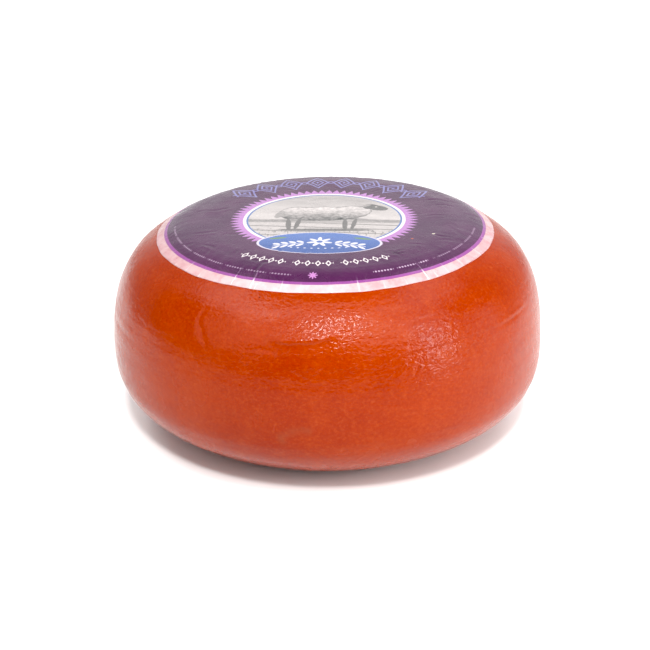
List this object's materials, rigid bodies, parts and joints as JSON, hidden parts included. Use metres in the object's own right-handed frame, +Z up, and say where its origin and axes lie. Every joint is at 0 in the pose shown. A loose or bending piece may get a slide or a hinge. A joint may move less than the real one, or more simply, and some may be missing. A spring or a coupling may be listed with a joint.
{
  "type": "waxed cheese wheel",
  "caption": "Thick round wheel of wax-coated cheese with bulging sides, standing on a flat base, with a round paper label over its crown.",
  "frame": {"origin": "middle of the wheel's footprint at the height of the flat base it stands on (bottom centre of the bounding box)", "axes": "+Z up through the crown and the label, -Y towards the viewer (the picture on the label is upright from that side), +X to the viewer's right, towards the slightly thicker side"},
  "size_m": [0.24, 0.24, 0.1187],
  "materials": {
    "wax_coat": "satin red-orange cheese wax, finely pebbled, with dents, creases and pinholes",
    "paper_label": null
  },
  "bodies": {
    "root": {"cheese_wheel": "wax_coat", "top_label": "paper_label"}
  },
  "joints": []
}
